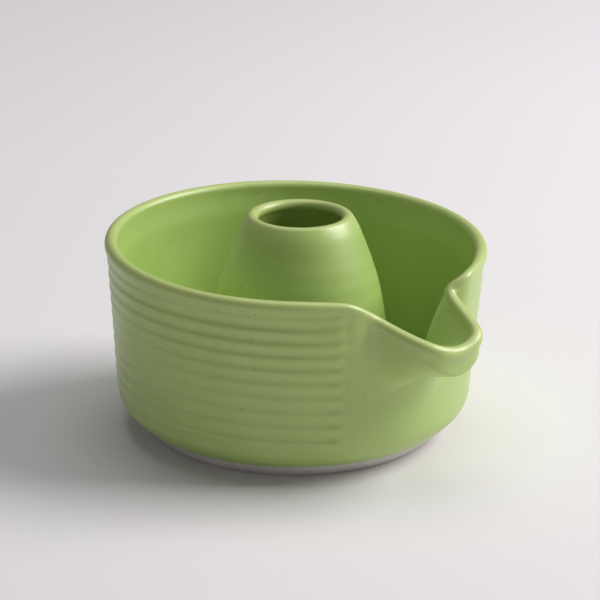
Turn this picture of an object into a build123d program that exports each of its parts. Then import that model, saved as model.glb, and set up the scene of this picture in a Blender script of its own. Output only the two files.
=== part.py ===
"""Wheel-thrown stoneware cooker: a bowl with a pulled pouring spout and a hollow cone in the middle.

Millimetres, +Z up.  The origin is the centre of the bare foot, on the table.  The spout points along +X.
It was pulled by hand, so it is a little wider on its -Y side, and the cone stands a little off centre.
"""
from build123d import *
from math import cos, exp, hypot, log1p, radians, sin, sqrt
import os

# ---- driving dimensions of the bowl -------------------------------------------------------------------
RIM_OUTER_R = 94.5          # outside of the rim bead
RIM_TOP_Z = 95.9            # mean height of the rim
RIM_BEAD_R = 2.7            # the rim is rounded to this radius
RIM_FALL = 2.5              # the rim tips gently down towards the spout, and up at the back
FOOT_R = 73.4               # bare ring that stands on the table
GLAZE_LINE_R = 79.3         # where the bare chamfer ends and the glaze begins
GLAZE_LINE_Z = 7.4
KNUCKLE_R = 88.1            # control point of the curve from the foot into the wall
KNUCKLE_Z = 12.9
WALL_LOW_R = 88.5           # outside of the wall just above the knuckle
WALL_LOW_Z = 20.7
WALL_SLOPE = 0.066          # the wall opens outwards by this much for each millimetre of height
WALL_THICK = 5.4
BEAD_DROP = 5.5             # depth below the rim's centre line over which the bead blends into the wall
FLOOR_TOP_Z = 9.5
FLOOR_CORNER_R = 14.0       # fillet between the floor and the inside of the wall

# ---- the pulled spout, as changes to the rim's centre line --------------------------------------------
SPOUT_PUSH = 24.6           # how far the lip stands out from the round rim
SPOUT_HALF_ANGLES = (13.0, 10.1)    # degrees off the spout's axis at half of that push, to -Y and to +Y
SPOUT_SQUARENESS = 5.7      # exponent of the lip's outline: higher is squarer
PINCH_DEPTH = 5.5           # the potter's fingers press the wall in on both sides of the spout
PINCH_ANGLE = 15.7
PINCH_WIDTH = 2.25
DIP_DEPTH = 22.4            # how far the lip sinks below the rim
DIP_ANGLES = (27.2, 21.6)   # degrees off the axis where the dip starts, to -Y and to +Y
DIP_ROUNDING = 0.31
DIP_CRISPNESS = 19.3
LIP_FACE = 11.0             # the upright outer face of the lip, below the rim's centre line
LIP_CURL = 5.5              # height over which the underside of the lip turns back to the wall
FLANK_ANGLE = 19.0          # degrees off the axis where the lip's underside has faded out
THROAT_SHARE = 0.27         # share of the push left in the wall right under the lip
THROAT_DEPTH = 38.0         # depth below the rim's centre line where the wall is round again
CHANNEL_DEPTH = 6.0         # the pouring channel inside falls back to the wall over this depth
CHANNEL_TAPER = 13.0        # depth over which the channel narrows to half its width

# ---- driving dimensions of the cone and of its joint to the floor -------------------------------------
CONE_X = 1.74               # the cone's axis stands off the bowl's by this much
CONE_Y = 1.93
CONE_LIP_R = 23.8           # centre of the rounded lip
CONE_LIP_Z = 105.9
CONE_LIP_BEAD_R = 2.5
LIP_LEAN = 38.0             # the cone's sides leave the lip this many degrees off the vertical
CONE_FOOT_R = 44.8
CONE_SIDE = [(44.6, 30.0), (43.0, 53.1), (39.0, 74.6), (34.4, 88.7), (31.8, 95.4), (28.4, 103.4)]
CONE_INSIDE = [(24.2, 99.5), (28.7, 88.7), (33.1, 74.6), (37.1, 53.1), (39.0, 30.0)]
CONE_WALL = 5.8
COIL_SIZE = 6.0             # the clay coil smoothed into the corner outside the cone's foot
GLAZE = 0.5                 # thickness of the glaze coat

# ---- derived ------------------------------------------------------------------------------------------
RIM_CENTRE_R = RIM_OUTER_R - RIM_BEAD_R
RIM_CENTRE_Z = RIM_TOP_Z - RIM_BEAD_R
CORNER_Z = FLOOR_TOP_Z + FLOOR_CORNER_R
CONE_INSIDE_R = CONE_FOOT_R - CONE_WALL
COIL_R = CONE_FOOT_R + COIL_SIZE
COIL_TOP_Z = FLOOR_TOP_Z + COIL_SIZE
RIGHT_ANGLE = 90.0
HALF_TURN = 180.0
FULL_TURN = 360.0

# degrees round the bowl from the spout's axis: close together at the spout, wide apart behind it
ANGLES = [1.5 * step for step in range(-24, 25)] + list(range(45, 316, 9))
RING_PARAMETERS = [(a - ANGLES[0]) / FULL_TURN for a in ANGLES] + [1.0]
# depths of the rings below the rim's centre line, close together round the lip's underside
NEAR_RIM_DEPTHS = [1.5, 3.2, 5.0, 7.0, 9.0, 10.2, 11.1, 12.0, 13.0, 14.2, 16.5, 20.0, 25.0]
LOW_STEPS = 4               # bands of the wall between those rings and the knuckle or the floor fillet
KNUCKLE_STEPS = 6
CAP_STEPS = 10
CORNER_STEPS = 6
SIDE_STEPS = 16
COIL_STEPS = 6


# ---- the rim's centre line ----------------------------------------------------------------------------
def smooth(x):
    """0 below 0, 1 above 1, with an even slope between."""
    x = min(max(x, 0.0), 1.0)
    return x * x * (3 - 2 * x)


def signed(angle):
    """An angle from the spout's axis, -180 to 180."""
    return (angle + HALF_TURN) % FULL_TURN - HALF_TURN


def off_axis(angle):
    return abs(signed(angle))


def on_side(angle, pair):
    """The first of a pair of values on the -Y side of the spout, the second on the +Y side."""
    return pair[0] if signed(angle) < 0 else pair[1]


def lip_outline(angle):
    half_angle = on_side(angle, SPOUT_HALF_ANGLES)
    return 1 / (1 + (off_axis(angle) / half_angle) ** SPOUT_SQUARENESS)


def pinch(angle):
    return exp(-((off_axis(angle) - PINCH_ANGLE) / PINCH_WIDTH) ** 2)


def dip_hat(angle):
    """A rounded tip with straight flanks and a crisp start at the dip's angle, before scaling."""
    x = 1 - sqrt((off_axis(angle) / on_side(angle, DIP_ANGLES)) ** 2 + DIP_ROUNDING ** 2)
    return log1p(exp(x * DIP_CRISPNESS)) / DIP_CRISPNESS


def rim_z(angle):
    dip = DIP_DEPTH * dip_hat(angle) / dip_hat(0)
    return RIM_CENTRE_Z - RIM_FALL * cos(radians(angle)) - dip


# ---- the wall below the rim ---------------------------------------------------------------------------
def throat(depth):
    return THROAT_SHARE * (1 - smooth(depth / THROAT_DEPTH))


def outer_share(angle, depth):
    """Share of the lip's push in the outer skin.

    At the tip it is an upright face with a sharp turn back under it; on the flanks it fades slowly.
    """
    flank = smooth(off_axis(angle) / FLANK_ANGLE)
    face = LIP_FACE * (1 - flank)
    curl = LIP_CURL + (THROAT_DEPTH - LIP_CURL) * flank
    return throat(depth) + (1 - throat(depth)) * (1 - smooth((depth - face) / curl))


def inner_share(depth):
    """Share of the push in the inner skin: a channel that slopes back into the bowl."""
    return throat(depth) + (1 - throat(depth)) * exp(-depth / CHANNEL_DEPTH)


def wall_outside_r(z):
    return WALL_LOW_R + WALL_SLOPE * (z - WALL_LOW_Z)


OUTER_OFFSET = wall_outside_r(RIM_CENTRE_Z) - RIM_CENTRE_R
INNER_OFFSET = WALL_THICK - OUTER_OFFSET


def skin_offset(depth, wall_offset):
    """Distance of a skin from the centre line: the bead's radius at the rim, the wall's further down."""
    bead = max(0.0, 1 - (depth / BEAD_DROP) ** 2) ** 2
    return wall_offset + (RIM_BEAD_R - wall_offset) * bead


def polar(radius, angle, z):
    return Vector(radius * cos(radians(angle)), radius * sin(radians(angle)), z)


def round_r(z):
    """Radius of the wall's centre line away from the spout."""
    return RIM_CENTRE_R - WALL_SLOPE * (RIM_CENTRE_Z - z)


def rim_point(angle):
    """The rim's centre line, with the whole spout in it."""
    z = rim_z(angle)
    pushed = SPOUT_PUSH * lip_outline(angle) - PINCH_DEPTH * pinch(angle)
    return polar(round_r(z) + pushed, angle, z)


def rim_frame(angle):
    """The level outward direction at the rim, and the upward direction square to the rim's run."""
    step = 0.25
    run = rim_point(angle + step) - rim_point(angle - step)
    outward = Vector(run.Y, -run.X, 0).normalized()
    return outward, outward.cross(run).normalized()


def spout_step(side, angle, coat):
    """The level step from the pinched round rim to the real rim, on one side of the bead."""
    reach = side * (RIM_BEAD_R + coat)
    lip = rim_point(angle) + rim_frame(angle)[0] * reach
    pinched_rim = polar(round_r(rim_z(angle)) - PINCH_DEPTH * pinch(angle) + reach, angle, lip.Z)
    return lip - pinched_rim


def taper(side, depth):
    """How much narrower than the lip the spout is at a depth: only its inside tapers."""
    return 1.0 if side > 0 else 1 + depth / CHANNEL_TAPER


def matching_angle(side, angle, depth):
    """The angle at the rim whose spout shape a skin has at this angle and depth."""
    wide = min(off_axis(angle) * taper(side, depth), HALF_TURN)
    return wide if signed(angle) >= 0 else -wide


def pressed_in(side, angle, depth):
    """Depth of the finger's pinch: the inside is pressed from the channel's edge out to the outer pinch."""
    beyond = off_axis(angle) - PINCH_ANGLE
    short = PINCH_ANGLE / taper(side, depth) - off_axis(angle)
    gap = max(beyond, short, 0.0)
    return PINCH_DEPTH * exp(-(gap / PINCH_WIDTH) ** 2) * (1 - smooth(depth / THROAT_DEPTH))


def skin_point(side, angle, depth, coat):
    """A point of the outer (side 1) or inner (side -1) skin at a depth below the rim's centre line.

    A share of the spout's step is left in the wall at every depth, and the pinch fades away on its own.
    """
    z = rim_z(angle) - depth
    wall_offset = OUTER_OFFSET if side > 0 else INNER_OFFSET
    offset = skin_offset(depth, wall_offset) + coat
    share = outer_share(angle, depth) if side > 0 else inner_share(depth)
    rim_angle = matching_angle(side, angle, depth)
    step = spout_step(side, rim_angle, coat).rotate(Axis.Z, angle - rim_angle)
    round_wall_r = round_r(z) + side * offset - pressed_in(side, angle, depth)
    return polar(round_wall_r, angle, z) + step * share


# ---- rings: closed curves round the bowl, all with the same knots -------------------------------------
def ring(point_at):
    points = [point_at(a) for a in ANGLES]
    return Wire([Edge.make_spline(points, periodic=True, parameters=RING_PARAMETERS)])


def level_ring(radius, z):
    return ring(lambda a: polar(radius, a, z))


def at_cone(shape):
    """Moves a shape from the bowl's axis to the cone's."""
    return shape.moved(Pos(CONE_X, CONE_Y, 0))


def skin_ring(side, depth_at, coat):
    """A ring on one skin, at its own depth below the rim for every angle."""
    return ring(lambda a: skin_point(side, a, depth_at(a), coat))


def near_rim_rings(side, coat):
    """Rings at fixed depths below the rim, from the rim down."""
    return [skin_ring(side, lambda a, d=d: d, coat) for d in NEAR_RIM_DEPTHS]


def low_rings(side, end_z, coat):
    """Rings from below the lowest near-rim ring to just above the level end_z."""
    start = NEAR_RIM_DEPTHS[-1]
    rings = []
    for i in range(1, LOW_STEPS):
        part = i / LOW_STEPS
        rings.append(skin_ring(side, lambda a, p=part: start + (rim_z(a) - start - end_z) * p, coat))
    return rings


def cap_ring(turn, coat):
    """A ring over the rim; turn 0 is the outside of the bead and 180 its inside."""
    def point_at(a):
        outward, up = rim_frame(a)
        reach = outward * cos(radians(turn)) + up * sin(radians(turn))
        return rim_point(a) + reach * (RIM_BEAD_R + coat)
    return ring(point_at)


def knuckle_ring(t, coat):
    """A circle on the curve from the glaze line (t = 0) into the wall (t = 1)."""
    r = (1 - t) ** 2 * GLAZE_LINE_R + 2 * t * (1 - t) * KNUCKLE_R + t * t * WALL_LOW_R
    z = (1 - t) ** 2 * GLAZE_LINE_Z + 2 * t * (1 - t) * KNUCKLE_Z + t * t * WALL_LOW_Z
    run_r = (1 - t) * (KNUCKLE_R - GLAZE_LINE_R) + t * (WALL_LOW_R - KNUCKLE_R)
    run_z = (1 - t) * (KNUCKLE_Z - GLAZE_LINE_Z) + t * (WALL_LOW_Z - KNUCKLE_Z)
    turned = smooth(2 * t)
    scale = coat * turned / hypot(run_r, run_z)
    return level_ring(r + coat * (1 - turned) + scale * run_z, z - scale * run_r)


def corner_ring(turn, coat):
    """A circle on the fillet inside the bowl; turn 0 is at the wall and 90 level with the floor."""
    reach = FLOOR_CORNER_R - coat
    r = wall_outside_r(CORNER_Z) - WALL_THICK - FLOOR_CORNER_R + reach * cos(radians(turn))
    return level_ring(r, CORNER_Z - reach * sin(radians(turn)))


# ---- the bowl -----------------------------------------------------------------------------------------
def skin_faces(coat):
    """The bowl's surface from the glaze line over the rim to the floor, grown by a coat."""
    knuckle = [knuckle_ring(i / KNUCKLE_STEPS, coat) for i in range(KNUCKLE_STEPS + 1)]
    outer = near_rim_rings(1, coat)
    cap = [cap_ring(i * HALF_TURN / CAP_STEPS, coat) for i in range(CAP_STEPS + 1)]
    inner = near_rim_rings(-1, coat)
    corner = [corner_ring(i * RIGHT_ANGLE / CORNER_STEPS, coat) for i in range(CORNER_STEPS + 1)]
    outer_low = low_rings(1, WALL_LOW_Z, coat)
    inner_low = low_rings(-1, CORNER_Z, coat)
    rings = knuckle + outer_low[::-1] + outer[::-1] + cap + inner + inner_low + corner
    return Shell.make_loft(rings, ruled=True).faces()


def ruled_face(ring_a, ring_b):
    return Shell.make_loft([ring_a, ring_b], ruled=True).faces()[0]


def make_bowl_body():
    """The thrown bowl in one piece of clay: bare foot, wall, rim, spout and floor."""
    foot = level_ring(FOOT_R, 0)
    foot_chamfer = ruled_face(foot, knuckle_ring(0, 0))
    floor = Face(corner_ring(RIGHT_ANGLE, 0))
    return Solid(Shell([Face(foot), foot_chamfer] + skin_faces(0) + [floor]))


def make_bowl_glaze():
    """The coat over the bowl, from the glaze line over the rim to the edge of the coil."""
    glaze_line = Face(knuckle_ring(0, GLAZE), [knuckle_ring(0, 0)])
    coil_low = at_cone(level_ring(COIL_R, FLOOR_TOP_Z))
    coil_high = at_cone(level_ring(COIL_R, FLOOR_TOP_Z + GLAZE))
    floor_under = Face(corner_ring(RIGHT_ANGLE, 0), [coil_low])
    floor_top = Face(corner_ring(RIGHT_ANGLE, GLAZE), [coil_high])
    ends = [glaze_line, floor_under, floor_top, ruled_face(coil_low, coil_high)]
    return Solid(Shell(skin_faces(0) + skin_faces(GLAZE) + ends))


# ---- the cone and its coil, as bands between level circles --------------------------------------------
def in_section(point):
    r, z = point
    return Vector(r, 0, z)


def stations(edge, steps):
    """Points (radius, height) evenly spaced along an edge of a section."""
    points = [edge @ (i / steps) for i in range(steps + 1)]
    return [(p.X, p.Z) for p in points]


def lip_point(turn, coat):
    reach = CONE_LIP_BEAD_R + coat
    return CONE_LIP_R + reach * cos(radians(turn)), CONE_LIP_Z + reach * sin(radians(turn))


def moved_side(points, coat):
    """Inner points of a side moved by a coat, square to the line through their neighbours."""
    moved = []
    for before, (r, z), after in zip(points, points[1:], points[2:]):
        run_r, run_z = after[0] - before[0], after[1] - before[1]
        scale = coat / hypot(run_r, run_z)
        moved.append((r + scale * run_z, z - scale * run_r))
    return moved


def cone_outside(coat):
    """Up the outside, from the top of the coil to the lip."""
    clay = [(CONE_FOOT_R, COIL_TOP_Z)] + CONE_SIDE + [lip_point(LIP_LEAN, 0)]
    side = [(CONE_FOOT_R + coat, COIL_TOP_Z)] + moved_side(clay, coat) + [lip_point(LIP_LEAN, coat)]
    leaning = Vector(-sin(radians(LIP_LEAN)), 0, cos(radians(LIP_LEAN)))
    edge = Edge.make_spline([in_section(p) for p in side], tangents=[Vector(0, 0, 1), leaning])
    return stations(edge, SIDE_STEPS)


def cone_inside(coat, foot_z):
    """Down the inside, from the lip to the floor."""
    clay = [lip_point(HALF_TURN + LIP_LEAN, 0)] + CONE_INSIDE + [(CONE_INSIDE_R, FLOOR_TOP_Z)]
    side = [lip_point(HALF_TURN + LIP_LEAN, coat)] + moved_side(clay, coat) + [(CONE_INSIDE_R - coat, foot_z)]
    leaning = Vector(sin(radians(LIP_LEAN)), 0, -cos(radians(LIP_LEAN)))
    edge = Edge.make_spline([in_section(p) for p in side], tangents=[leaning, Vector(0, 0, -1)])
    return stations(edge, SIDE_STEPS)


def cone_lip(coat):
    """Over the lip, without the two end points that the sides already have."""
    turns = [LIP_LEAN + i * HALF_TURN / CAP_STEPS for i in range(1, CAP_STEPS)]
    return [lip_point(turn, coat) for turn in turns]


def cone_skin(coat, foot_z):
    return cone_outside(coat) + cone_lip(coat) + cone_inside(coat, foot_z)


def coil_section(coat):
    """The hollow curve of the coil, from the floor up to the cone."""
    reach = COIL_SIZE - coat
    turns = [HALF_TURN + RIGHT_ANGLE * (1 - i / COIL_STEPS) for i in range(COIL_STEPS + 1)]
    return [(COIL_R + reach * cos(radians(t)), COIL_TOP_Z + reach * sin(radians(t))) for t in turns]


def bands(section):
    """Faces between level circles through the points of a section."""
    return Shell.make_loft([level_ring(r, z) for r, z in section], ruled=True).faces()


def make_center_cone():
    """The thrown cone: open at the top, its rounded lip a little narrower than the shoulder."""
    foot = Face(level_ring(CONE_FOOT_R, FLOOR_TOP_Z), [level_ring(CONE_INSIDE_R, FLOOR_TOP_Z)])
    return at_cone(Solid(Shell(bands([(CONE_FOOT_R, FLOOR_TOP_Z)] + cone_skin(0, FLOOR_TOP_Z)) + [foot])))


def make_joint_coil():
    """The coil of clay smoothed into the corner between the cone's foot and the floor."""
    under = Face(level_ring(COIL_R, FLOOR_TOP_Z), [level_ring(CONE_FOOT_R, FLOOR_TOP_Z)])
    return at_cone(Solid(Shell(bands(coil_section(0) + [(CONE_FOOT_R, FLOOR_TOP_Z)]) + [under])))


def make_cone_glaze():
    """The coat over the coil, the cone and the floor inside it, closed at the coil's edge."""
    top_z = FLOOR_TOP_Z + GLAZE
    clay_side = coil_section(0) + cone_skin(0, FLOOR_TOP_Z)[1:]
    open_side = coil_section(GLAZE) + cone_skin(GLAZE, top_z)[1:]
    rim = bands([(COIL_R, FLOOR_TOP_Z), (COIL_R, top_z)])
    discs = [Face(level_ring(CONE_INSIDE_R, FLOOR_TOP_Z)), Face(level_ring(CONE_INSIDE_R - GLAZE, top_z))]
    return at_cone(Solid(Shell(bands(clay_side) + bands(open_side) + rim + discs)))


PIECES = {
    "bowl_body": make_bowl_body,
    "bowl_glaze": make_bowl_glaze,
    "center_cone": make_center_cone,
    "joint_coil": make_joint_coil,
    "cone_glaze": make_cone_glaze,
}

os.makedirs("parts", exist_ok=True)
for name, make in PIECES.items():
    export_step(make(), f"parts/{name}.step")
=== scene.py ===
"""Visual model of a glazed stoneware cooker: a thrown bowl with a pulled spout and a hollow cone.

Metres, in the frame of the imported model: +Z up, the spout along +X, the foot's centre at the origin.
Angles are degrees round the bowl from the spout's axis.
"""

import math

import bpy
import numpy as np
from mathutils import Matrix, Vector


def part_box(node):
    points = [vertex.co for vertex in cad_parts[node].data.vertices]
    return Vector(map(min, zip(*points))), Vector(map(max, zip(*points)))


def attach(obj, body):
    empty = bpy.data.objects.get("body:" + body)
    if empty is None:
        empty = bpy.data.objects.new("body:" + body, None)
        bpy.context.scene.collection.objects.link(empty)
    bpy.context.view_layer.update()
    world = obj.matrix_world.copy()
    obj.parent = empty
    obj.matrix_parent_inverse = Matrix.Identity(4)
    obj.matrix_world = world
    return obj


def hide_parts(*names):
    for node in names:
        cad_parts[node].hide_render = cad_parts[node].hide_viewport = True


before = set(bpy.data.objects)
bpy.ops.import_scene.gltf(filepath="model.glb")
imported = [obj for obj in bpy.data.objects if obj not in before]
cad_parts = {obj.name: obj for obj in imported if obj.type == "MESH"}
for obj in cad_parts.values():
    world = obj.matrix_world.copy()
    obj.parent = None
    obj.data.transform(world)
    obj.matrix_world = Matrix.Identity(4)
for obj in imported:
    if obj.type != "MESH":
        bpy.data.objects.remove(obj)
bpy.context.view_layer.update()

# ---- sizes read from the frame ------------------------------------------------------------------------
bowl_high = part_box("bowl_body")[1]
coil_low, coil_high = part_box("joint_coil")
cone_low, cone_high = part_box("center_cone")

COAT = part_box("bowl_glaze")[1].y - bowl_high.y      # thickness of the glaze
FLOOR_TOP_Z = coil_low.z
COIL_R = (coil_high.x - coil_low.x) / 2
CONE_FOOT_R = (cone_high.x - cone_low.x) / 2
CONE_CENTRE = (cone_low + cone_high) / 2            # the cone stands a little off the bowl's centre
CONE_CENTRE.z = 0.0
COIL_SIZE = coil_high.z - coil_low.z

# ---- sizes of the bowl's clay -------------------------------------------------------------------------
RIM_BEAD_R = 0.0027
RIM_CENTRE_R = bowl_high.y - RIM_BEAD_R
RIM_CENTRE_Z = 0.0932
RIM_FALL = 0.0025
FOOT_R = 0.0734
GLAZE_LINE = (0.0793, 0.0074)       # radius and height where the glaze starts
KNUCKLE = (0.0881, 0.0129)          # control point of the curve into the wall
WALL_LOW = (0.0885, 0.0207)
WALL_SLOPE = 0.066
WALL_THICK = 0.0054
BEAD_DROP = 0.0055
FLOOR_CORNER_R = 0.014
CORNER_Z = FLOOR_TOP_Z + FLOOR_CORNER_R

# ---- the spout, as changes to the rim's centre line ---------------------------------------------------
SPOUT_PUSH = 0.0246
SPOUT_HALF_ANGLES = (13.0, 10.1)    # on the -Y side and on the +Y side, where they differ
SPOUT_SQUARENESS = 5.7
PINCH_DEPTHS = (0.0034, 0.0055)     # the pinch is shallower and wider on the -Y side
PINCH_ANGLES = (17.5, 15.7)
PINCH_WIDTHS = (5.0, 3.2)
DIP_DEPTH = 0.0224
DIP_ANGLES = (27.2, 21.6)
DIP_ROUNDING = 0.31
DIP_CRISPNESS = 19.3
LIP_FACE = 0.011
LIP_CURL = 0.0055
FLANK_ANGLE = 19.0
THROAT_SHARE = 0.27
THROAT_DEPTH = 0.038
CHANNEL_DEPTH = 0.006
CHANNEL_TAPER = 0.013

# ---- the cone -----------------------------------------------------------------------------------------
CONE_LIP = (0.0238, 0.1059)
CONE_LIP_BEAD_R = 0.0025
LIP_LEAN = 38.0
CONE_SIDE = [
    (0.0446, 0.0300), (0.0430, 0.0531), (0.0390, 0.0746),
    (0.0344, 0.0887), (0.0318, 0.0954), (0.0284, 0.1034),
]
CONE_INSIDE = [(0.0242, 0.0995), (0.0287, 0.0887), (0.0331, 0.0746), (0.0371, 0.0531), (0.0390, 0.0300)]
CONE_WALL = 0.0058

# ---- what the potter's fingers leave ------------------------------------------------------------------
RING_PITCH = 0.0071         # height between two throwing grooves
RING_DEPTH = 0.0004
RING_DRIFT = 0.22           # how far the grooves wander, as a share of their pitch
RING_TOP = 0.0905           # the grooves stop under the rim's bead
RING_FADE_START = 24.5      # degrees off the spout's axis, where pulling the spout smoothed them away
RING_FADE_END = 30.0
FAR_FADE_START = 36.0       # the same on the spout's other side
FAR_FADE_END = 58.0
WOBBLE = 0.0003             # how far the rim is out of round
RING_END_DENT = 0.8         # the grooves end in slightly deeper dents
RING_END_WIDTH = 1.6
CREASE_DEPTH = 0.0003       # a soft upright crease beside those dents
CREASE_ANGLE = -27.0
CREASE_WIDTH = 1.3
LEAN = (-0.00032, 0.00144)  # how far the rim stands off to one side of the foot
SHOULDER_THINNING = 0.001   # the rim's bead is thinner where the wall was stretched beside the spout
SHOULDER_ANGLE = 26.0
SHOULDER_WIDTH = 9.0
INNER_BEAD_DROP = 0.014     # inside, the bead blends into the wall over a longer way
INNER_MARKS = 0.1           # the inside is smoother, so its marks are this share of the outside's
FLOOR_PITCH = 0.0058
FLOOR_MARKS = 0.00012
CONE_PITCH = 0.0085
CONE_MARKS = 0.00003
TOOL_MARK = 0.00006         # what the trimming tool leaves on the bare foot
TOOL_TURN = 1.9
FOOT_EDGE_R = 0.0007

# ---- the glaze coat -----------------------------------------------------------------------------------
BONDED = -0.00005           # the coat's hidden side lies just inside the clay
HIDDEN_CLAY = -0.0006       # the clay lies deeper under the grooves, so that it never shows through
HIDDEN_BACK = -0.0008       # and the coat's hidden side lies deeper still
GLAZE_ROLL = 0.0009         # width of the soft roll at the coat's lower edge
GLAZE_LINE_WAVE = 0.0004
KNUCKLE_LENGTH = 0.0165
POOL_R = 0.003              # glaze pools in the corner inside the cone

COLUMNS = 380
COLUMN_BUNCHING = 28.6      # degrees by which columns are drawn towards the spout
CONE_COLUMNS = 288
FOOT_ROWS = 40
CHAMFER_ROWS = 12


def smooth(x):
    x = np.clip(x, 0.0, 1.0)
    return x * x * (3 - 2 * x)


def wave(angle, seed, terms=3, lowest=2):
    """A closed, seeded, smooth curve round the bowl, between about -1 and 1."""
    random = np.random.default_rng(seed)
    total = np.zeros_like(angle)
    for k in range(lowest, lowest + terms):
        total = total + random.uniform(0.5, 1.0) * np.cos(np.radians(k * angle + random.uniform(0, 360)))
    return total / terms


# columns round the bowl, twice as close at the spout as at its sides
_turns = np.linspace(-180.0, 180.0, COLUMNS, endpoint=False)
ANGLES = _turns - COLUMN_BUNCHING * np.sin(np.radians(_turns))
OFF_AXIS = np.abs(ANGLES)
COS, SIN = np.cos(np.radians(ANGLES)), np.sin(np.radians(ANGLES))


# ---- the bowl's surface -------------------------------------------------------------------------------
def on_side(pair):
    """The first of a pair of values on the -Y side of the spout, the second on the +Y side."""
    return np.where(SIN < 0, pair[0], pair[1])


def dip_hat(off_axis, start):
    x = 1 - np.sqrt((off_axis / start) ** 2 + DIP_ROUNDING ** 2)
    return np.log1p(np.exp(x * DIP_CRISPNESS)) / DIP_CRISPNESS


LIP_OUTLINE = 1 / (1 + (OFF_AXIS / on_side(SPOUT_HALF_ANGLES)) ** SPOUT_SQUARENESS)
PINCH_DEPTH = on_side(PINCH_DEPTHS)
PINCH_ANGLE = on_side(PINCH_ANGLES)
PINCH_WIDTH = on_side(PINCH_WIDTHS)
PINCH = PINCH_DEPTH * np.exp(-((OFF_AXIS - PINCH_ANGLE) / PINCH_WIDTH) ** 2)
DIP = DIP_DEPTH * dip_hat(OFF_AXIS, on_side(DIP_ANGLES)) / dip_hat(0.0, DIP_ANGLES[0])
RIM_Z = RIM_CENTRE_Z - RIM_FALL * COS - DIP + WOBBLE * wave(ANGLES, 5)
BEAD_R = RIM_BEAD_R - SHOULDER_THINNING * np.exp(-(((OFF_AXIS - SHOULDER_ANGLE) / SHOULDER_WIDTH) ** 2))


def polar(radius, z):
    radius, z = np.broadcast_to(radius, COLUMNS), np.broadcast_to(z, COLUMNS)
    return np.stack([radius * COS, radius * SIN, z], axis=-1)


def round_r(z):
    """Radius of the wall's centre line away from the spout."""
    return RIM_CENTRE_R - WALL_SLOPE * (RIM_CENTRE_Z - z)


RIM_LINE = polar(round_r(RIM_Z) + SPOUT_PUSH * LIP_OUTLINE - PINCH, RIM_Z)
_run = np.roll(RIM_LINE, -1, axis=0) - np.roll(RIM_LINE, 1, axis=0)
OUTWARD = np.stack([_run[:, 1], -_run[:, 0], np.zeros(COLUMNS)], axis=-1)
OUTWARD /= np.linalg.norm(OUTWARD, axis=1)[:, None]
UP_RIM = np.cross(OUTWARD, _run)
UP_RIM /= np.linalg.norm(UP_RIM, axis=1)[:, None]


def wall_outside_r(z):
    return WALL_LOW[0] + WALL_SLOPE * (z - WALL_LOW[1])


OUTER_OFFSET = wall_outside_r(RIM_CENTRE_Z) - RIM_CENTRE_R
INNER_OFFSET = WALL_THICK - OUTER_OFFSET


def throat(depth):
    return THROAT_SHARE * (1 - smooth(depth / THROAT_DEPTH))


def outer_share(depth):
    flank = smooth(OFF_AXIS / FLANK_ANGLE)
    face = LIP_FACE * (1 - flank)
    curl = LIP_CURL + (THROAT_DEPTH - LIP_CURL) * flank
    return throat(depth) + (1 - throat(depth)) * (1 - smooth((depth - face) / curl))


def inner_share(depth):
    return throat(depth) + (1 - throat(depth)) * np.exp(-depth / CHANNEL_DEPTH)


def spout_step(side, coat):
    """The level step from the pinched round rim to the real rim, as outward and sideways parts."""
    reach = side * (BEAD_R + coat)
    step = RIM_LINE + OUTWARD * reach[:, None] - polar(round_r(RIM_Z) - PINCH + reach, RIM_Z)
    return step[:, 0] * COS + step[:, 1] * SIN, step[:, 1] * COS - step[:, 0] * SIN


def skin_ring(side, depth, coat, mark=0.0):
    """One ring of the outer (side 1) or inner (side -1) skin; mark is added to the wall's radius.

    The inside of the spout narrows with depth, so it takes its shape from a wider angle at the rim.
    """
    depth = np.broadcast_to(depth, COLUMNS)
    z = RIM_Z - depth
    taper = 1.0 if side > 0 else 1 + depth / CHANNEL_TAPER
    wall_offset, drop = (OUTER_OFFSET, BEAD_DROP) if side > 0 else (INNER_OFFSET, INNER_BEAD_DROP)
    bead = np.maximum(0.0, 1 - (depth / drop) ** 2) ** 2
    offset = wall_offset + (BEAD_R - wall_offset) * bead + coat
    at_rim = np.minimum(OFF_AXIS * taper, 180.0) * np.sign(ANGLES)
    outward, sideways = (np.interp(at_rim, ANGLES, part, period=360) for part in spout_step(side, coat))
    share = outer_share(depth) if side > 0 else inner_share(depth)
    gap = np.maximum(0.0, np.maximum(OFF_AXIS - PINCH_ANGLE, PINCH_ANGLE / taper - OFF_AXIS))
    pressed = PINCH_DEPTH * np.exp(-(gap / PINCH_WIDTH) ** 2) * (1 - smooth(depth / THROAT_DEPTH))
    wobble = WOBBLE * wave(ANGLES, 8) * smooth(z / RIM_CENTRE_Z)
    radius = round_r(z) + side * offset - pressed + wobble + mark + outward * share
    points = polar(radius, z)
    points[:, 0] -= sideways * share * SIN
    points[:, 1] += sideways * share * COS
    return points


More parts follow.
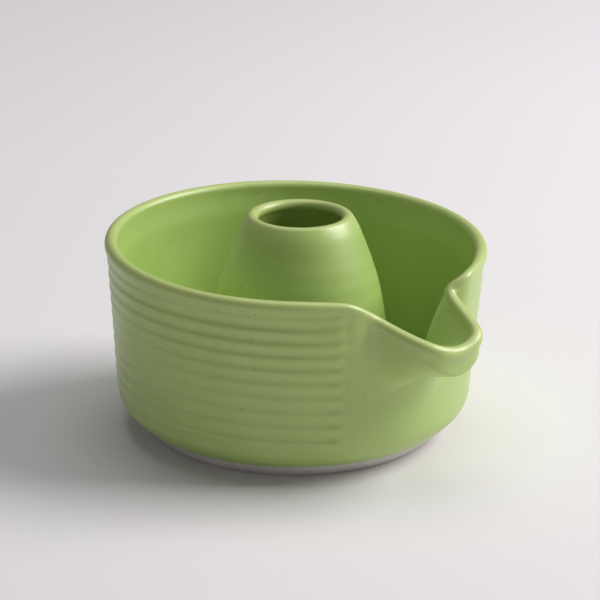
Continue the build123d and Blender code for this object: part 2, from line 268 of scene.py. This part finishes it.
def throwing_marks(z):
    """Depth of the spiral groove in the outer wall at each column, for heights z."""
    turn = ANGLES / 360.0
    drift = RING_DRIFT * wave(ANGLES, 21, 3, 1) + 0.10 * np.sin(z / 0.013 + 1.0)
    phase = (z - RING_TOP) / RING_PITCH + turn + drift
    groove = np.sin(2 * math.pi * phase) - 0.1 * np.sin(4 * math.pi * phase + 0.6)
    strength = 0.7 + 0.2 * wave(ANGLES, 23, 4, 2) + 0.2 * np.sin(z / 0.0094 + 2.0 * turn * math.pi + 0.7)
    side = 0.45 + 0.55 * smooth(0.5 - 0.9 * SIN)
    near_fade = smooth((OFF_AXIS - RING_FADE_START) / (RING_FADE_END - RING_FADE_START))
    far_fade = smooth((OFF_AXIS - FAR_FADE_START) / (FAR_FADE_END - FAR_FADE_START))
    fade = np.where(SIN < 0, near_fade, far_fade)
    fade = fade * (1 + RING_END_DENT * np.exp(-((ANGLES + RING_FADE_END) / RING_END_WIDTH) ** 2))
    ends = smooth((RING_TOP - z) / 0.004) * smooth((z - 0.010) / 0.008)
    crease = CREASE_DEPTH * np.exp(-((ANGLES - CREASE_ANGLE) / CREASE_WIDTH) ** 2) * smooth((z - 0.03) / 0.02)
    return (RING_DEPTH * groove * strength * side * fade - crease) * ends


def knuckle_point(t, coat):
    """Radius and height on the curve from the glaze line (t = 0) into the wall, moved off by a coat."""
    r = (1 - t) ** 2 * GLAZE_LINE[0] + 2 * t * (1 - t) * KNUCKLE[0] + t * t * WALL_LOW[0]
    z = (1 - t) ** 2 * GLAZE_LINE[1] + 2 * t * (1 - t) * KNUCKLE[1] + t * t * WALL_LOW[1]
    run_r = (1 - t) * (KNUCKLE[0] - GLAZE_LINE[0]) + t * (WALL_LOW[0] - KNUCKLE[0])
    run_z = (1 - t) * (KNUCKLE[1] - GLAZE_LINE[1]) + t * (WALL_LOW[1] - KNUCKLE[1])
    length = math.hypot(run_r, run_z)
    return r + coat * run_z / length, z - coat * run_r / length


def knuckle_rings(coat_at, steps, marked=False):
    rings = []
    for i in range(steps):
        t = i / steps
        r, z = knuckle_point(t, coat_at(t))
        mark = throwing_marks(np.full(COLUMNS, z)) if marked else 0.0
        drip = GLAZE_LINE_WAVE * wave(ANGLES, 31, 7, 3) * max(0.0, 1 - t / 0.25) if marked else 0.0
        rings.append(polar(r + mark + 0.62 * drip, z + 0.78 * drip))
    return rings


def outer_rings(coat, steps, marked=False):
    """Level with the knuckle at the bottom, at a constant depth below the rim at the top."""
    reach = RIM_Z - WALL_LOW[1]
    rings = []
    for i in range(steps):
        depth = reach * (1 - i / steps)
        mark = throwing_marks(RIM_Z - depth) if marked else 0.0
        rings.append(skin_ring(1, depth, coat, mark))
    return rings


def cap_rings(coat, steps):
    rings = []
    for i in range(steps + 1):
        turn = math.pi * i / steps
        reach = OUTWARD * math.cos(turn) + UP_RIM * math.sin(turn)
        rings.append(RIM_LINE + reach * (BEAD_R + coat)[:, None])
    return rings


def inner_rings(coat, steps, marked=False):
    reach = RIM_Z - CORNER_Z
    rings = []
    for i in range(1, steps + 1):
        depth = reach * i / steps
        mark = INNER_MARKS * throwing_marks(RIM_Z - depth) if marked else 0.0
        rings.append(skin_ring(-1, depth, coat, mark))
    return rings


CORNER_R = wall_outside_r(CORNER_Z) - WALL_THICK - FLOOR_CORNER_R


def corner_rings(coat, steps):
    reach = FLOOR_CORNER_R - coat
    turns = [0.5 * math.pi * i / steps for i in range(1, steps + 1)]
    return [polar(CORNER_R + reach * math.cos(t), CORNER_Z - reach * math.sin(t)) for t in turns]


def floor_rings(coat, steps, marked=False):
    """The floor of the trough, from the fillet in to the coil, with faint rings where it was thrown."""
    rings = []
    for i in range(1, steps + 1):
        part = i / steps
        r = CORNER_R + (COIL_R - CORNER_R) * part
        ends = math.sin(math.pi * part)
        phase = 2 * math.pi * (r / FLOOR_PITCH + ANGLES / 360)
        mark = FLOOR_MARKS * ends * np.sin(phase) if marked else 0.0
        ring = polar(r, FLOOR_TOP_Z + coat + mark)
        rings.append(ring + part * np.array(CONE_CENTRE))
    return rings


def leaning(rings):
    """The wall leans a little to one side; the foot and the floor stay level and in place."""
    for ring in rings:
        up = np.maximum(0.0, ring[:, 2] - CORNER_Z) / (RIM_CENTRE_Z - CORNER_Z)
        ring[:, 0] += LEAN[0] * up
        ring[:, 1] += LEAN[1] * up
    return rings


# ---- from rings to meshes -----------------------------------------------------------------------------
def mesh_object(name, rings, closed_loop=False, start_pole=None, end_pole=None):
    """Quads between rings. closed_loop joins the last ring to the first; a pole closes an end."""
    vertices = np.concatenate(rings).tolist()
    count, columns = len(rings), np.arange(len(rings[0]))
    after = np.roll(columns, -1)
    faces = []
    for i in range(count if closed_loop else count - 1):
        low, high = i * len(columns), ((i + 1) % count) * len(columns)
        faces += np.stack([low + columns, low + after, high + after, high + columns], axis=1).tolist()
    last = (count - 1) * len(columns)
    first_edge = np.stack([after, columns])
    last_edge = last + np.stack([columns, after])
    for pole, ring in ((start_pole, first_edge), (end_pole, last_edge)):
        if pole is not None:
            apex = np.full(len(columns), len(vertices))
            faces += np.stack([ring[0], ring[1], apex], axis=1).tolist()
            vertices.append(pole)
    mesh = bpy.data.meshes.new(name)
    mesh.from_pydata(vertices, [], faces)
    mesh.shade_smooth()
    mesh.set_sharp_from_angle(angle=math.radians(50))
    piece = bpy.data.objects.new(name, mesh)
    bpy.context.scene.collection.objects.link(piece)
    return piece


def store_rings(piece, name, values, columns):
    """Stores one number for each ring on its points, for the material. The rest of the piece gets 0."""
    stored = np.zeros(len(piece.data.vertices), dtype=np.float32)
    stored[: len(values) * columns] = np.repeat(values, columns)
    piece.data.attributes.new(name, "FLOAT", "POINT").data.foreach_set("value", stored)


def stand_for(piece, node):
    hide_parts(node)
    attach(piece, "root")
    return piece


# ---- the glaze on the bowl ----------------------------------------------------------------------------
KNUCKLE_ROWS, OUTER_ROWS, CAP_ROWS, INNER_ROWS, CORNER_ROWS, FLOOR_ROWS = 16, 96, 16, 40, 10, 16


def glaze_edge_coat(t):
    """The glaze starts in a soft roll at its lower edge."""
    run = t * KNUCKLE_LENGTH
    roll = math.sqrt(max(0.0, 1 - (1 - min(run / GLAZE_ROLL, 1.0)) ** 2))
    swell = 0.45 * math.exp(-((run - 1.3 * GLAZE_ROLL) / GLAZE_ROLL) ** 2)
    return COAT * (roll + swell)


def hidden_coat(t):
    """The coat's hidden side goes from just inside the clay at the glaze line to deep under the grooves."""
    return BONDED + (HIDDEN_BACK - BONDED) * float(smooth(t))


def make_bowl_glaze():
    seen = (
        knuckle_rings(glaze_edge_coat, KNUCKLE_ROWS, True)
        + outer_rings(COAT, OUTER_ROWS, True)
        + cap_rings(COAT, CAP_ROWS)
        + inner_rings(COAT, INNER_ROWS, True)
        + corner_rings(COAT, CORNER_ROWS)
        + floor_rings(COAT, FLOOR_ROWS, True)
    )
    back = (
        knuckle_rings(hidden_coat, KNUCKLE_ROWS // 3)[1:]
        + outer_rings(HIDDEN_BACK, OUTER_ROWS // 4)
        + cap_rings(BONDED, CAP_ROWS // 2)
        + inner_rings(BONDED, INNER_ROWS // 3)
        + corner_rings(BONDED, CORNER_ROWS // 2)
        + floor_rings(BONDED, FLOOR_ROWS // 4)
    )
    piece = mesh_object("glazed_bowl", leaning(seen + back[::-1]), closed_loop=True)
    crest = KNUCKLE_ROWS + OUTER_ROWS + 0.4 * CAP_ROWS
    from_crest = np.abs(np.arange(len(seen)) - crest) / (0.75 * CAP_ROWS)
    store_rings(piece, "thin_glaze", 1 - smooth(from_crest), COLUMNS)
    return stand_for(piece, "bowl_glaze")


# ---- the bowl's clay, seen at the foot ----------------------------------------------------------------
def foot_rings():
    """The trimmed underside, its rounded edge and the bare chamfer, with the tool's faint rings."""
    rings = []
    for i in range(1, FOOT_ROWS):
        r = FOOT_R * i / FOOT_ROWS
        rings.append(polar(r, TOOL_MARK * (1 + math.sin(TOOL_TURN * i))))
    for turn in (-85.0, -60.0, -35.0, -10.0):
        r = FOOT_R + FOOT_EDGE_R * (math.cos(math.radians(turn)) - 0.5)
        rings.append(polar(r, FOOT_EDGE_R * (1 + math.sin(math.radians(turn)))))
    for i in range(1, CHAMFER_ROWS):
        part = 0.12 + 0.88 * i / CHAMFER_ROWS
        r = FOOT_R + (GLAZE_LINE[0] - FOOT_R) * part + TOOL_MARK * math.sin(TOOL_TURN * i)
        rings.append(polar(r, GLAZE_LINE[1] * part))
    return rings


def make_bowl_clay():
    rings = (
        foot_rings()
        + knuckle_rings(lambda t: HIDDEN_CLAY * float(smooth(t)), KNUCKLE_ROWS // 2)
        + outer_rings(HIDDEN_CLAY, OUTER_ROWS // 4)
        + cap_rings(0.0, CAP_ROWS // 2)
        + inner_rings(0.0, INNER_ROWS // 3)
        + corner_rings(0.0, CORNER_ROWS // 2)
    )
    centre_low, centre_high = (0.0, 0.0, TOOL_MARK), (0.0, 0.0, FLOOR_TOP_Z)
    piece = mesh_object("clay_bowl", leaning(rings), start_pole=centre_low, end_pole=centre_high)
    return stand_for(piece, "bowl_body")


# ---- the glaze on the cone ----------------------------------------------------------------------------
CONE_ANGLES = np.linspace(0.0, 2 * math.pi, CONE_COLUMNS, endpoint=False)


def smooth_line(points, start, end, spacing):
    """A smooth line through section points, leaving and arriving in given directions, evenly spaced."""
    points = np.array(points)
    lengths = np.linalg.norm(np.diff(points, axis=0), axis=1)
    knots = np.concatenate([[0.0], np.cumsum(lengths)])
    slopes = np.diff(points, axis=0) / lengths[:, None]
    inner = slopes[:-1] * lengths[1:, None] + slopes[1:] * lengths[:-1, None]
    inner = inner / (lengths[:-1] + lengths[1:])[:, None]
    slopes = np.concatenate([[start], inner, [end]])
    s = np.linspace(0.0, knots[-1], max(2, round(knots[-1] / spacing)) + 1)
    span = np.clip(np.searchsorted(knots, s, side="right") - 1, 0, len(lengths) - 1)
    width = lengths[span][:, None]
    t = (s - knots[span])[:, None] / width
    from_here = (1 + 2 * t) * (1 - t) ** 2 * points[span] + t * (1 - t) ** 2 * width * slopes[span]
    to_next = t * t * (3 - 2 * t) * points[span + 1] + t * t * (t - 1) * width * slopes[span + 1]
    return from_here + to_next


def arc(centre, radius, start, end, steps):
    turns = np.radians(np.linspace(start, end, steps + 1))
    return np.stack([centre[0] + radius * np.cos(turns), centre[1] + radius * np.sin(turns)], axis=1)


def cone_section(spacing):
    """The clay's section: coil, outside, lip, inside and the floor to near its centre."""
    coil_top = FLOOR_TOP_Z + COIL_SIZE
    lean = math.radians(LIP_LEAN)
    along_lip = np.array([-math.sin(lean), math.cos(lean)])
    coil = arc((COIL_R, coil_top), COIL_SIZE, 270, 180, 8)
    lip = arc(CONE_LIP, CONE_LIP_BEAD_R, LIP_LEAN, LIP_LEAN + 180, 18)
    outside = smooth_line([coil[-1], *CONE_SIDE, lip[0]], (0, 1), along_lip, spacing)
    inside_r = CONE_FOOT_R - CONE_WALL
    fillet = arc((inside_r - POOL_R, FLOOR_TOP_Z + POOL_R), POOL_R, 0, -90, 5)
    inside = smooth_line([lip[-1], *CONE_INSIDE, fillet[0]], -along_lip, (0, -1), 2 * spacing)
    floor = np.array([[r, FLOOR_TOP_Z] for r in np.linspace(fillet[-1][0], 0.004, 10)])
    return np.concatenate([coil, outside[1:], lip[1:], inside[1:], fillet[1:], floor[1:]])


def cone_rings(section, coat, marked=False):
    run = np.gradient(section, axis=0)
    run /= np.linalg.norm(run, axis=1)[:, None]
    run[0] = run[-1] = (-1.0, 0.0)
    rings = []
    for (r, z), (run_r, run_z) in zip(section, run):
        shift = np.full(CONE_COLUMNS, coat)
        if marked:
            phase = 2 * math.pi * z / CONE_PITCH + CONE_ANGLES + 0.5 * wave(np.degrees(CONE_ANGLES), 41)
            outside = float(smooth((z - FLOOR_TOP_Z - COIL_SIZE) / 0.01)) * float(run_z > 0.5)
            below_lip = float(smooth((CONE_LIP[1] - z) / 0.012))
            shift = shift + CONE_MARKS * outside * np.sin(phase) * below_lip
        radius = r + shift * run_z
        x, y = radius * np.cos(CONE_ANGLES), radius * np.sin(CONE_ANGLES)
        ring = np.stack([x, y, z - shift * run_r], axis=1)
        rings.append(ring + np.array(CONE_CENTRE))
    return rings


def make_cone_glaze():
    section = cone_section(0.0009)
    seen = cone_rings(section, COAT, True)
    back = cone_rings(cone_section(0.003), BONDED)
    centre_low = (CONE_CENTRE.x, CONE_CENTRE.y, FLOOR_TOP_Z + BONDED)
    centre_high = (CONE_CENTRE.x, CONE_CENTRE.y, FLOOR_TOP_Z + COAT)
    piece = mesh_object("glazed_cone", seen[::-1] + back, start_pole=centre_high, end_pole=centre_low)
    piece.data.flip_normals()
    crest_z = CONE_LIP[1] + CONE_LIP_BEAD_R
    thin = 1 - smooth((crest_z - section[::-1, 1]) / (1.6 * CONE_LIP_BEAD_R))
    store_rings(piece, "thin_glaze", thin, CONE_COLUMNS)
    return stand_for(piece, "cone_glaze")


# ---- materials ----------------------------------------------------------------------------------------
def new_material(name):
    material = bpy.data.materials.new(name)
    material.use_nodes = True
    tree = material.node_tree
    return material, tree, tree.nodes["Principled BSDF"]


def add(tree, kind, inputs=(), **settings):
    """Adds a node, applies its settings, and fills its inputs with sockets or plain values."""
    node = tree.nodes.new(kind)
    for key, value in settings.items():
        setattr(node, key, value)
    for key, value in dict(inputs).items():
        if isinstance(value, bpy.types.NodeSocket):
            tree.links.new(value, node.inputs[key])
        else:
            node.inputs[key].default_value = value
    return node


def noise(tree, place, scale, detail=3.0, roughness=0.5):
    inputs = {"Vector": place, "Scale": scale, "Detail": detail, "Roughness": roughness}
    return add(tree, "ShaderNodeTexNoise", inputs).outputs["Fac"]


def remap(tree, value, low, high, to_low, to_high):
    inputs = {"Value": value, "From Min": low, "From Max": high, "To Min": to_low, "To Max": to_high}
    return add(tree, "ShaderNodeMapRange", inputs).outputs["Result"]


def blend_colour(tree, factor, a, b, blend_type="MIX"):
    node = add(tree, "ShaderNodeMix", data_type="RGBA", blend_type=blend_type)
    for socket, value in ((node.inputs[0], factor), (node.inputs[6], a), (node.inputs[7], b)):
        if isinstance(value, bpy.types.NodeSocket):
            tree.links.new(value, socket)
        else:
            socket.default_value = value
    return node.outputs[2]


def multiply(tree, a, b):
    node = add(tree, "ShaderNodeMath", {0: a, 1: b}, operation="MULTIPLY")
    return node.outputs[0]


def speck_mask(tree, place, cell, radius, share):
    """1 inside tiny round specks, one in a share of cells of the given size."""
    cells = add(tree, "ShaderNodeTexVoronoi", {"Vector": place, "Scale": 1 / cell, "Randomness": 1.0})
    inside = remap(tree, cells.outputs["Distance"], radius / cell, 0.6 * radius / cell, 0.0, 1.0)
    chance = add(tree, "ShaderNodeSeparateColor", {0: cells.outputs["Color"]}).outputs[0]
    chosen = add(tree, "ShaderNodeMath", {0: chance, 1: share}, operation="LESS_THAN").outputs[0]
    return multiply(tree, inside, chosen)


def glaze_material(name):
    """A satin green glaze: cloudy where it is thick, paler and warmer where it is thin over edges."""
    material, tree, shader = new_material(name)
    place = add(tree, "ShaderNodeTexCoord").outputs["Object"]
    clouds = remap(tree, noise(tree, place, 38.0, 4.0, 0.55), 0.3, 0.7, 0.0, 1.0)
    colour = blend_colour(tree, clouds, GREEN_DEEP, GREEN_PALE)
    flecks = remap(tree, noise(tree, place, 900.0, 2.0), 0.42, 0.62, 0.0, 0.16)
    colour = blend_colour(tree, flecks, colour, GREEN_FLECK)
    thin = add(tree, "ShaderNodeAttribute", attribute_name="thin_glaze").outputs["Fac"]
    broken = multiply(tree, thin, remap(tree, noise(tree, place, 160.0), 0.35, 0.65, 0.12, 0.42))
    colour = blend_colour(tree, broken, colour, GREEN_THIN)
    iron = speck_mask(tree, place, 0.0075, 0.00038, 0.6)
    colour = blend_colour(tree, iron, colour, IRON_SPECK)
    tree.links.new(colour, shader.inputs["Base Color"])
    sheen_marks = remap(tree, noise(tree, place, 120.0, 3.0), 0.3, 0.7, 0.40, 0.48)
    tree.links.new(sheen_marks, shader.inputs["Roughness"])
    shader.inputs["IOR"].default_value = 1.6
    shader.inputs["Coat Weight"].default_value = 0.5
    shader.inputs["Coat Roughness"].default_value = 0.36
    orange_peel = noise(tree, place, 520.0, 2.0)
    bump = add(tree, "ShaderNodeBump", {"Height": orange_peel, "Distance": 0.00012, "Strength": 0.25})
    tree.links.new(bump.outputs["Normal"], shader.inputs["Normal"])
    return material


def clay_material(name, pale, dark):
    """Bare fired clay: matt, gritty and slightly uneven in colour."""
    material, tree, shader = new_material(name)
    place = add(tree, "ShaderNodeTexCoord").outputs["Object"]
    clouds = remap(tree, noise(tree, place, 60.0, 4.0), 0.3, 0.7, 0.0, 1.0)
    colour = blend_colour(tree, clouds, pale, dark)
    grit = remap(tree, noise(tree, place, 1400.0, 2.0), 0.55, 0.75, 0.0, 0.35)
    colour = blend_colour(tree, grit, colour, CLAY_GRIT)
    colour = blend_colour(tree, speck_mask(tree, place, 0.004, 0.00022, 0.4), colour, IRON_SPECK)
    tree.links.new(colour, shader.inputs["Base Color"])
    tree.links.new(remap(tree, clouds, 0.0, 1.0, 0.82, 0.92), shader.inputs["Roughness"])
    grain = noise(tree, place, 1100.0, 3.0, 0.6)
    bump = add(tree, "ShaderNodeBump", {"Height": grain, "Distance": 0.0002, "Strength": 0.5})
    tree.links.new(bump.outputs["Normal"], shader.inputs["Normal"])
    return material


def floor_material():
    material, tree, shader = new_material("studio_floor")
    place = add(tree, "ShaderNodeTexCoord").outputs["Object"]
    tone = remap(tree, noise(tree, place, 1.3, 2.0), 0.3, 0.7, 0.0, 1.0)
    tree.links.new(blend_colour(tree, tone, FLOOR_PALE, FLOOR_DEEP), shader.inputs["Base Color"])
    shader.inputs["Roughness"].default_value = 0.85
    shader.inputs["Specular IOR Level"].default_value = 0.2
    return material


GREEN_DEEP = (0.385, 0.545, 0.130, 1.0)
GREEN_PALE = (0.430, 0.585, 0.155, 1.0)
GREEN_FLECK = (0.50, 0.62, 0.24, 1.0)
GREEN_THIN = (0.60, 0.55, 0.24, 1.0)
IRON_SPECK = (0.05, 0.06, 0.03, 1.0)
CLAY_PALE = (0.80, 0.765, 0.735, 1.0)
CLAY_DARK = (0.72, 0.685, 0.655, 1.0)
CLAY_GRIT = (0.36, 0.32, 0.28, 1.0)
FLOOR_PALE = (0.80, 0.775, 0.79, 1.0)
FLOOR_DEEP = (0.78, 0.755, 0.77, 1.0)

green_glaze = glaze_material("green_satin_glaze")
bare_clay = clay_material("bare_clay", CLAY_PALE, CLAY_DARK)
pieces = {make_bowl_glaze(): green_glaze, make_cone_glaze(): green_glaze, make_bowl_clay(): bare_clay}
for piece, material in pieces.items():
    piece.data.materials.append(material)
for node in ("center_cone", "joint_coil"):
    cad_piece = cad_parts[node]
    for slot in cad_piece.material_slots:
        slot.material = bare_clay


# ---- floor, light and camera --------------------------------------------------------------------------
CAMERA_AZIMUTH = -42.0
CAMERA_ELEVATION = 20.487
CAMERA_DISTANCE = 1.1083
CAMERA_ROLL = 0.36
TARGET = Vector((0.0, 0.0, 0.04354))
FOCAL = 131.7
FRAMING = (0.0101, 0.0617)


def around(azimuth, elevation, distance, centre):
    """The point seen from a centre at an azimuth from +X, an elevation and a distance."""
    a, e = math.radians(azimuth), math.radians(elevation)
    direction = Vector((math.cos(e) * math.cos(a), math.cos(e) * math.sin(a), math.sin(e)))
    return centre + distance * direction


def facing(place, target):
    return (target - place).to_track_quat("-Z", "Y").to_matrix().to_4x4()


def softbox(name, azimuth, elevation, distance, size, power, colour):
    lamp = bpy.data.lights.new(name, "AREA")
    lamp.shape = "RECTANGLE"
    lamp.size, lamp.size_y = size
    lamp.energy = power
    lamp.color = colour
    holder = bpy.data.objects.new(name, lamp)
    place = around(azimuth, elevation, distance, TARGET)
    holder.matrix_world = Matrix.Translation(place) @ facing(place, TARGET)
    bpy.context.scene.collection.objects.link(holder)


def make_floor():
    mesh = bpy.data.meshes.new("floor")
    half = 3.0
    corners = [(-half, -half, 0), (half, -half, 0), (half, half, 0), (-half, half, 0)]
    mesh.from_pydata(corners, [], [(0, 1, 2, 3)])
    floor = bpy.data.objects.new("floor", mesh)
    mesh.materials.append(floor_material())
    bpy.context.scene.collection.objects.link(floor)


def make_camera():
    camera = bpy.data.objects.new("camera", bpy.data.cameras.new("camera"))
    place = around(CAMERA_AZIMUTH, CAMERA_ELEVATION, CAMERA_DISTANCE, TARGET)
    roll = Matrix.Rotation(math.radians(CAMERA_ROLL), 4, "Z")
    camera.matrix_world = Matrix.Translation(place) @ facing(place, TARGET) @ roll
    camera.data.lens = FOCAL
    camera.data.shift_x, camera.data.shift_y = FRAMING
    bpy.context.scene.collection.objects.link(camera)
    bpy.context.scene.camera = camera


def make_world():
    world = bpy.data.worlds.new("studio")
    world.use_nodes = True
    background = world.node_tree.nodes["Background"]
    background.inputs["Color"].default_value = (0.86, 0.85, 0.88, 1.0)
    background.inputs["Strength"].default_value = 0.21
    bpy.context.scene.world = world


make_floor()
make_camera()
make_world()
softbox("key", CAMERA_AZIMUTH + 100, 40, 2.6, (1.5, 1.5), 68.0, (1.0, 0.985, 0.965))
softbox("overhead", CAMERA_AZIMUTH + 180, 78, 2.4, (1.8, 1.8), 16.0, (0.98, 0.99, 1.0))
bpy.context.scene.view_settings.view_transform = "Standard"
